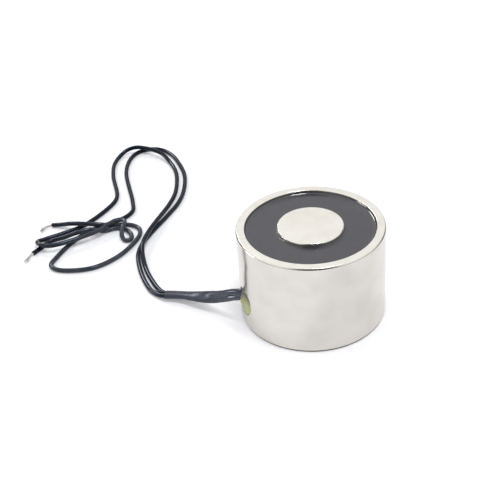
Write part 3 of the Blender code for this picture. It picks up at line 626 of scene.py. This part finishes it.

# Nickel in the tapped hole: thin and dull, because little of it plates out down there. The bottom
# edge gets the same dark nickel as a painted shade, for the contact shadow where the pot stands on
# the floor.
dull_grain = 0.6 * MM
dull_nickel_and_painted_foot_shade, tree, shader, places = finish("dull_nickel_in_hole_painted_shade_at_foot", "#6B6760", 0.42, 1.0)
grain = add(tree, "ShaderNodeTexNoise", {"Scale": 1 / dull_grain, "Detail": 3.0},
            {"Vector": places.outputs["Object"]})
add(tree, "ShaderNodeMapRange", {**noise_values, "To Min": 0.34, "To Max": 0.55},
    {"Value": grain.outputs["Fac"]}, shader.inputs["Roughness"])

# The lead hole is drilled square through the wall.
hole_radius = 4.2 * MM
hole_height = 9.5 * MM
hole_middle = (-21.5 * MM, 0.0, hole_height)
lead_hole = bmesh.new()
bmesh.ops.create_cone(
    lead_hole, cap_ends=True, segments=96, radius1=hole_radius, radius2=hole_radius, depth=8 * MM,
    matrix=Matrix.Translation(hole_middle) @ Matrix.Rotation(math.pi / 2, 4, "Y"),
)
drill_mesh = bpy.data.meshes.new("drill")
lead_hole.to_mesh(drill_mesh)
lead_hole.free()
drill = bpy.data.objects.new("drill", drill_mesh)
scene.collection.objects.link(drill)
pot = bpy.data.objects.new("undrilled_pot", pot_mesh)
scene.collection.objects.link(pot)
for nickel in (nickel_wall, nickel_face, dull_nickel_and_painted_foot_shade):
    pot_mesh.materials.append(nickel)
drilling = pot.modifiers.new("drilling", "BOOLEAN")
drilling.operation = "DIFFERENCE"
drilling.solver = "EXACT"
drilling.object = drill
drilled_pot = pot.evaluated_get(bpy.context.evaluated_depsgraph_get())
drilled = bpy.data.meshes.new_from_object(drilled_pot)
drilled.name = "plated_pot"
drilled.set_sharp_from_angle(angle=sharp_angle)
for rough_work in (pot, drill):
    bpy.data.objects.remove(rough_work, do_unlink=True)
piece("plated_pot", drilled, [], "pot_core")

# Potting. Black epoxy, poured round the pole over the coil and left a little below the pole faces.
# It crept up the pole and the wall before it set.
ring_top = 29.3 * MM
ring_bottom = 27.3 * MM
seam = 0.03 * MM
creep_height, creep_reach = 0.35 * MM, 0.35 * MM
creep_at_pole, creep_at_wall = 0.25, 1.0
sway_height = 0.03 * MM

# The rings of the surface lie closest together at its two edges: at s - 0.13 sin(360 degrees s) of
# the way across. It rises to the edges by the creep times exp(-distance / creep_reach), and sways a
# little round the pole.
across = np.linspace(0.0, 1.0, 44)
radius = pole_radius + seam + (cavity_radius - pole_radius - 2 * seam) * (
    across - 0.13 * np.sin(math.tau * across))
edge = np.minimum(radius - pole_radius, cavity_radius - radius)
nearer_pole = radius < 0.5 * (pole_radius + cavity_radius)
creep = creep_height * np.where(nearer_pole, creep_at_pole, creep_at_wall)
surface = ring_top + creep * np.exp(-edge / creep_reach)
potting_grid = turned(np.column_stack([
    np.r_[radius, radius[[-1, 0]]], np.r_[surface, ring_bottom, ring_bottom]]))
angle = np.linspace(0.0, math.tau, turned_columns, endpoint=False)
sway = sway_height * (np.sin(3 * angle + 1.0) + 0.6 * np.sin(7 * angle))
potting_grid[: len(radius), :, 2] += sway[None] * np.sin(math.pi * across)[:, None] ** 0.5

# Cast epoxy: a dark grey with a soft, uneven sheen where the filler settled and dust fell in, and
# glossy where it crept up the wall.
filler_patch = 2.4 * MM
dust_speck = 0.4 * MM
wall_gloss = {"From Min": cavity_radius - 1.3 * MM, "From Max": cavity_radius - 0.5 * MM,
              "To Min": 1.0, "To Max": 0.25}
epoxy, tree, shader, places = finish("black_cast_epoxy", "#343439", 0.4,
                                     **{"Specular IOR Level": 0.9})
settled = add(tree, "ShaderNodeTexNoise", {"Scale": 1 / filler_patch, "Detail": 4.0},
              {"Vector": places.outputs["Object"]}).outputs["Fac"]
dust = add(tree, "ShaderNodeTexNoise", {"Scale": 1 / dust_speck, "Detail": 1.0},
           {"Vector": places.outputs["Object"]}).outputs["Fac"]
tree.links.new(two_tone(tree, settled, "#2F2F35", "#35353D"), shader.inputs["Base Color"])
sheen = add(tree, "ShaderNodeMapRange", {**noise_values, "To Min": 0.365, "To Max": 0.40},
            {"Value": settled})
flat_place = add(tree, "ShaderNodeVectorMath", {"operation": "MULTIPLY", 1: (1, 1, 0)},
                 {0: places.outputs["Object"]})
out_from_pole = add(tree, "ShaderNodeVectorMath", {"operation": "LENGTH"},
                    {0: flat_place.outputs[0]})
at_wall = add(tree, "ShaderNodeMapRange", wall_gloss, {"Value": out_from_pole.outputs["Value"]})
add(tree, "ShaderNodeMath", {"operation": "MULTIPLY"}, {0: sheen.outputs[0], 1: at_wall.outputs[0]},
    shader.inputs["Roughness"])
both = add(tree, "ShaderNodeMath", {"operation": "MULTIPLY_ADD", 1: 0.2}, {0: dust, 2: settled})
add(tree, "ShaderNodeBump", {"Distance": 0.012 * MM}, {"Height": both.outputs[0]},
    shader.inputs["Normal"])
piece("epoxy_ring", skin("epoxy_ring", potting_grid, ring=True), [epoxy],
      "potting_ring")

# Exit resin. Olive two-part resin, dabbed into the lead hole by hand. It bulges from the wall round
# the sleeve and sags below the hole.
resin_rows, resin_columns, plug_rows = 26, 96, 10
spill, sag = 0.30 * MM, 0.55 * MM
bulge = 0.62 * MM
tuck = 0.12 * MM
fillet_height, fillet_reach = 0.5 * MM, 0.45 * MM
sleeve_half_width, sleeve_half_height = 1.0 * MM, 1.9 * MM
plug_reach = hole_radius - 0.1 * MM
plug_back, plug_front = -19.9 * MM, -21.6 * MM
plug_dish = 0.25 * MM

# The front is a grid of share s from the hole's middle to the dab's edge and angle a round it. The
# edge is a wavy circle that sags below, and the dab swells from the wall by bulge * sqrt(1 - s * s)
# with slow lumps, and by a fillet that falls off with the distance from the sleeve.
share = np.linspace(0.02, 1.0, resin_rows)[:, None]
turn = np.linspace(0.0, math.tau, resin_columns, endpoint=False)[None]
downwards = np.clip(-np.sin(turn), 0.0, 1.0)
waves = 0.14 * np.sin(3 * turn + 0.6) + 0.08 * np.sin(7 * turn + 2.0)
reach = hole_radius + spill + sag * downwards ** 2 + waves * MM
resin_y = share * reach * np.cos(turn)
resin_z = hole_height + share * reach * np.sin(turn)
lumps = 1 + 0.22 * np.sin(resin_y / MM * 1.7 + 0.4) * np.sin(resin_z / MM * 1.3 + 1.1)
swell = bulge * np.sqrt(1 - share ** 2) * (0.75 + 0.5 * downwards) * lumps
from_sleeve = np.hypot(
    np.clip(np.abs(resin_y - sleeve_start[1]) - sleeve_half_width, 0.0, 1.0),
    np.clip(np.abs(resin_z - sleeve_start[2]) - sleeve_half_height, 0.0, 1.0))
swell = swell + fillet_height * np.exp(-from_sleeve / fillet_reach) * (1 - share ** 4)
front_x = -np.sqrt(pot_radius ** 2 - resin_y ** 2) - swell + tuck * share ** 8
front = np.stack([front_x, resin_y, resin_z], axis=-1)
# Behind it a plug fills the hole to just short of the coil space.
in_hole = np.linspace(1.0, 0.05, plug_rows)[:, None]
back_y = in_hole * plug_reach * np.cos(turn)
back_z = hole_height + in_hole * plug_reach * np.sin(turn)
back_x = plug_back + plug_dish * np.broadcast_to(in_hole, back_y.shape) ** 4
back = np.stack([back_x, back_y, back_z], axis=-1)
collar = back[:1] * (0.0, 1.0, 1.0) + (plug_front, 0.0, 0.0)

# Two-part resin, stirred by hand: olive and waxy, paler and darker in stirred patches, with a thin
# gloss over soft lumps. Towards the sleeve above it is darkened as a painted shadow of the sleeve,
# and it is also darker towards its lower edge.
resin_lump = 1.6 * MM
painted_sleeve_shadow = {"From Min": 9.5 * MM, "From Max": 12.5 * MM, "To Min": 1.0, "To Max": 0.1}
darker_towards_lower_edge = {"From Min": 4.8 * MM, "From Max": 6.6 * MM, "To Min": 0.2, "To Max": 1.0}
resin, tree, shader, places = finish("olive_two_part_resin", "#8F9469", 0.24, **{
    "Coat Weight": 0.3, "Coat Roughness": 0.1})
mixed = add(tree, "ShaderNodeTexNoise", {"Scale": 1 / resin_lump, "Detail": 4.0},
            {"Vector": places.outputs["Object"]}).outputs["Fac"]
level = add(tree, "ShaderNodeSeparateXYZ", {}, {0: places.outputs["Object"]}).outputs["Z"]
# Painted shadow: the resin is darkened towards the sleeve above the hole.
clear_of_painted_shadow = add(tree, "ShaderNodeMapRange", painted_sleeve_shadow, {"Value": level})
above_edge = add(tree, "ShaderNodeMapRange", darker_towards_lower_edge, {"Value": level})
stirred = add(tree, "ShaderNodeMapRange", {**noise_values, "To Min": 0.55, "To Max": 1.0},
              {"Value": mixed})
# How pale the resin is: painted sleeve shadow, darker lower edge and stirred patches together.
thick = add(tree, "ShaderNodeMath", {"operation": "MULTIPLY"},
            {0: clear_of_painted_shadow.outputs[0], 1: above_edge.outputs[0]})
thick = add(tree, "ShaderNodeMath", {"operation": "MULTIPLY"},
            {0: thick.outputs[0], 1: stirred.outputs[0]})
tree.links.new(two_tone(tree, thick.outputs[0], "#3E3B22", "#BDC07F", 0.0, 1.0),
               shader.inputs["Base Color"])
add(tree, "ShaderNodeBump", {"Distance": 0.12 * MM}, {"Height": mixed}, shader.inputs["Normal"])
piece("exit_resin_dab", skin("exit_resin_dab", np.vstack([front, collar, back])), [resin],
      "exit_resin")


# Coil and its insulation, all inside the pot: enamelled wire wound on a nylon spool, taped over,
# on a pressboard ring, with its two ends soldered to the leads.
def dress(material, *nodes):
    """Gives CAD nodes their finish."""
    for node in nodes:
        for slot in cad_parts[node].material_slots:
            slot.material = material


# Enamelled copper: dark orange metal under clear lacquer, ribbed by turns drawn 0.5 mm apart.
turn_pitch = 0.5 * MM
enamel, tree, shader, places = finish("enamelled_copper_wire", "#9A4A22", 0.28, 1.0, **{
    "Coat Weight": 0.8, "Coat Roughness": 0.12})
turns = add(tree, "ShaderNodeTexWave", {"wave_type": "BANDS", "bands_direction": "Z",
                                        "Scale": wave_repeat / turn_pitch, "Distortion": 0.3},
            {"Vector": places.outputs["Object"]})
add(tree, "ShaderNodeBump", {"Distance": 0.15 * MM}, {"Height": turns.outputs["Fac"]},
    shader.inputs["Normal"])
dress(enamel, "winding", "start_tail", "finish_tail")

# Natural nylon, moulded: cream, half matt, a little clouded along its flow.
flow_mark = 4.0 * MM
nylon, tree, shader, places = finish("natural_moulded_nylon", "#E6E0CE", 0.42)
flow = add(tree, "ShaderNodeTexNoise", {"Scale": 1 / flow_mark, "Detail": 3.0},
           {"Vector": places.outputs["Object"]}).outputs["Fac"]
tree.links.new(two_tone(tree, flow, "#DDD6C2", "#EDE8D9"), shader.inputs["Base Color"])
add(tree, "ShaderNodeBump", {"Distance": 0.02 * MM}, {"Height": flow}, shader.inputs["Normal"])
dress(nylon, "coil_bobbin")

# Polyester tape, wound on in laps of 9 mm: glossy amber film, darker where two laps lie.
tape_lap = 9.0 * MM
film, tree, shader, places = finish("amber_polyester_tape", "#D9A53A", 0.22)
laps = add(tree, "ShaderNodeTexWave", {"wave_type": "BANDS", "bands_direction": "Z",
                                       "Scale": wave_repeat / tape_lap, "Distortion": 0.6},
           {"Vector": places.outputs["Object"]}).outputs["Fac"]
tree.links.new(two_tone(tree, laps, "#CF9830", "#E0B04A", 0.0, 1.0), shader.inputs["Base Color"])
add(tree, "ShaderNodeBump", {"Distance": 0.05 * MM}, {"Height": laps}, shader.inputs["Normal"])
dress(film, "winding_tape")

# Pressboard, punched from sheet: matt brown, flecked with flat-lying fibres.
fibre_clump = 0.7 * MM
board, tree, shader, places = finish("brown_pressboard", "#A98760", 0.85)
flattened = add(tree, "ShaderNodeVectorMath", {"operation": "MULTIPLY", 1: (1.0, 1.0, 3.0)},
                {0: places.outputs["Object"]})
fibres = add(tree, "ShaderNodeTexNoise", {"Scale": 1 / fibre_clump, "Detail": 5.0},
             {"Vector": flattened.outputs[0]}).outputs["Fac"]
tree.links.new(two_tone(tree, fibres, "#96754F", "#B99A72"), shader.inputs["Base Color"])
add(tree, "ShaderNodeBump", {"Distance": 0.05 * MM}, {"Height": fibres}, shader.inputs["Normal"])
dress(board, "floor_insulator")

# Shrink tube over the soldered joints: black and half glossy, creased over the lumps below.
joint_crease = 1.2 * MM
joint_shrink, tree, shader, places = finish("black_shrink_over_joint", "#191A1C", 0.3)
creases = add(tree, "ShaderNodeTexNoise", {"Scale": 1 / joint_crease},
              {"Vector": places.outputs["Object"]})
add(tree, "ShaderNodeBump", {"Distance": 0.08 * MM}, {"Height": creases.outputs["Fac"]},
    shader.inputs["Normal"])
dress(joint_shrink, "splice_a", "splice_b")

# Studio. A white floor that keeps the magnet's soft shadow, a lamp overhead and two small ones low
# on the left and behind, and a white room. Towards the lens and along the horizon the room is dark,
# which only mirrors see.
floor_half = 3.0
floor_glow_in_mirrors = 0.08
floor_lift = {"From Min": 0.25, "From Max": 1.2, "To Min": 0.20, "To Max": 0.52}
lamps = (
    # Name, place in metres, width, height, watts.
    ("overhead", (0.10, -0.20, 1.00), 0.26, 0.26, 3.8),
    ("left_lamp", (-0.92, 0.48, 0.20), 0.34, 0.24, 2.0),
    ("back_lamp", (-0.20, 0.80, 0.56), 0.34, 0.20, 2.0),
)
lens_opening = {"From Min": 0.80, "From Max": 0.93}
dark_horizon = {"From Min": 0.26, "From Max": 0.44, "To Min": 0.8, "To Max": 0.0}
fill_strength = 0.58

# White paper: matt, with no mirror in it at all. The lamps reach less of it far off, so it is
# lifted there, to look white to the horizon.
paper, tree, shader, places = finish("white_paper", "#F4F4F6", 0.9, **{"Specular IOR Level": 0.0})
rays = add(tree, "ShaderNodeLightPath")
seen = add(tree, "ShaderNodeMath", {"operation": "MAXIMUM"},
           {0: rays.outputs["Is Camera Ray"], 1: rays.outputs["Is Transmission Ray"]})
mirrored = add(tree, "ShaderNodeMath", {"operation": "MULTIPLY", 1: floor_glow_in_mirrors},
               {0: rays.outputs["Is Glossy Ray"]})
far_off = add(tree, "ShaderNodeVectorMath", {"operation": "LENGTH"}, {0: places.outputs["Object"]})
lifted = add(tree, "ShaderNodeMapRange", floor_lift, {"Value": far_off.outputs["Value"]})
lift = add(tree, "ShaderNodeMath", {"operation": "MULTIPLY_ADD"},
           {0: seen.outputs[0], 1: lifted.outputs[0], 2: mirrored.outputs[0]})
glow = add(tree, "ShaderNodeEmission", {}, {"Strength": lift.outputs[0]})
add(tree, "ShaderNodeAddShader", {}, {0: shader.outputs[0], 1: glow.outputs[0]},
    tree.nodes["Material Output"].inputs["Surface"])

floor_mesh = bpy.data.meshes.new("floor")
floor_mesh.from_pydata([(-floor_half, -floor_half, 0.0), (floor_half, -floor_half, 0.0),
                        (floor_half, floor_half, 0.0), (-floor_half, floor_half, 0.0)], [],
                       [(0, 1, 2, 3)])
floor_mesh.materials.append(paper)
floor = bpy.data.objects.new("floor", floor_mesh)
scene.collection.objects.link(floor)

for name, place, width, height, watts in lamps:
    light = bpy.data.lights.new(name, "AREA")
    light.shape = "ELLIPSE"
    light.size = width
    light.size_y = height
    light.energy = watts
    lamp = bpy.data.objects.new(name, light)
    turned_to_magnet = Vector(place).to_track_quat("Z", "Y").to_matrix().to_4x4()
    lamp.matrix_world = Matrix.Translation(place) @ turned_to_magnet
    scene.collection.objects.link(lamp)

world = bpy.data.worlds.new("white_room")
world.use_nodes = True
scene.world = world
tree = world.node_tree
rays = add(tree, "ShaderNodeLightPath")
seen = add(tree, "ShaderNodeMath", {"operation": "MAXIMUM"},
           {0: rays.outputs["Is Camera Ray"], 1: rays.outputs["Is Glossy Ray"]})
seen = add(tree, "ShaderNodeMath", {"operation": "MAXIMUM"},
           {0: seen.outputs[0], 1: rays.outputs["Is Transmission Ray"]})
sky = add(tree, "ShaderNodeTexCoord").outputs["Generated"]
towards_lens = add(tree, "ShaderNodeVectorMath", {"operation": "DOT_PRODUCT",
                                                  1: tuple(-camera_aim.normalized())}, {0: sky})
opening = add(tree, "ShaderNodeMapRange", lens_opening, {"Value": towards_lens.outputs["Value"]})
upwards = add(tree, "ShaderNodeSeparateXYZ", {}, {0: sky}).outputs["Z"]
horizon = add(tree, "ShaderNodeMapRange", dark_horizon, {"Value": upwards})
unlit = add(tree, "ShaderNodeMath", {"operation": "MAXIMUM"},
            {0: opening.outputs[0], 1: horizon.outputs[0]})
dark = add(tree, "ShaderNodeMath", {"operation": "MULTIPLY"},
           {0: unlit.outputs[0], 1: rays.outputs["Is Glossy Ray"]})
room = add(tree, "ShaderNodeBackground", {"Strength": 1.0},
           {"Color": two_tone(tree, dark.outputs[0], "#FFFFFF", "#1C1C1E", 0.0, 1.0)})
fill = add(tree, "ShaderNodeBackground", {"Color": srgb("#F8F9FF"), "Strength": fill_strength})
add(tree, "ShaderNodeMixShader", {}, {0: seen.outputs[0], 1: fill.outputs[0], 2: room.outputs[0]},
    tree.nodes["World Output"].inputs["Surface"])

scene.view_settings.view_transform = "Standard"
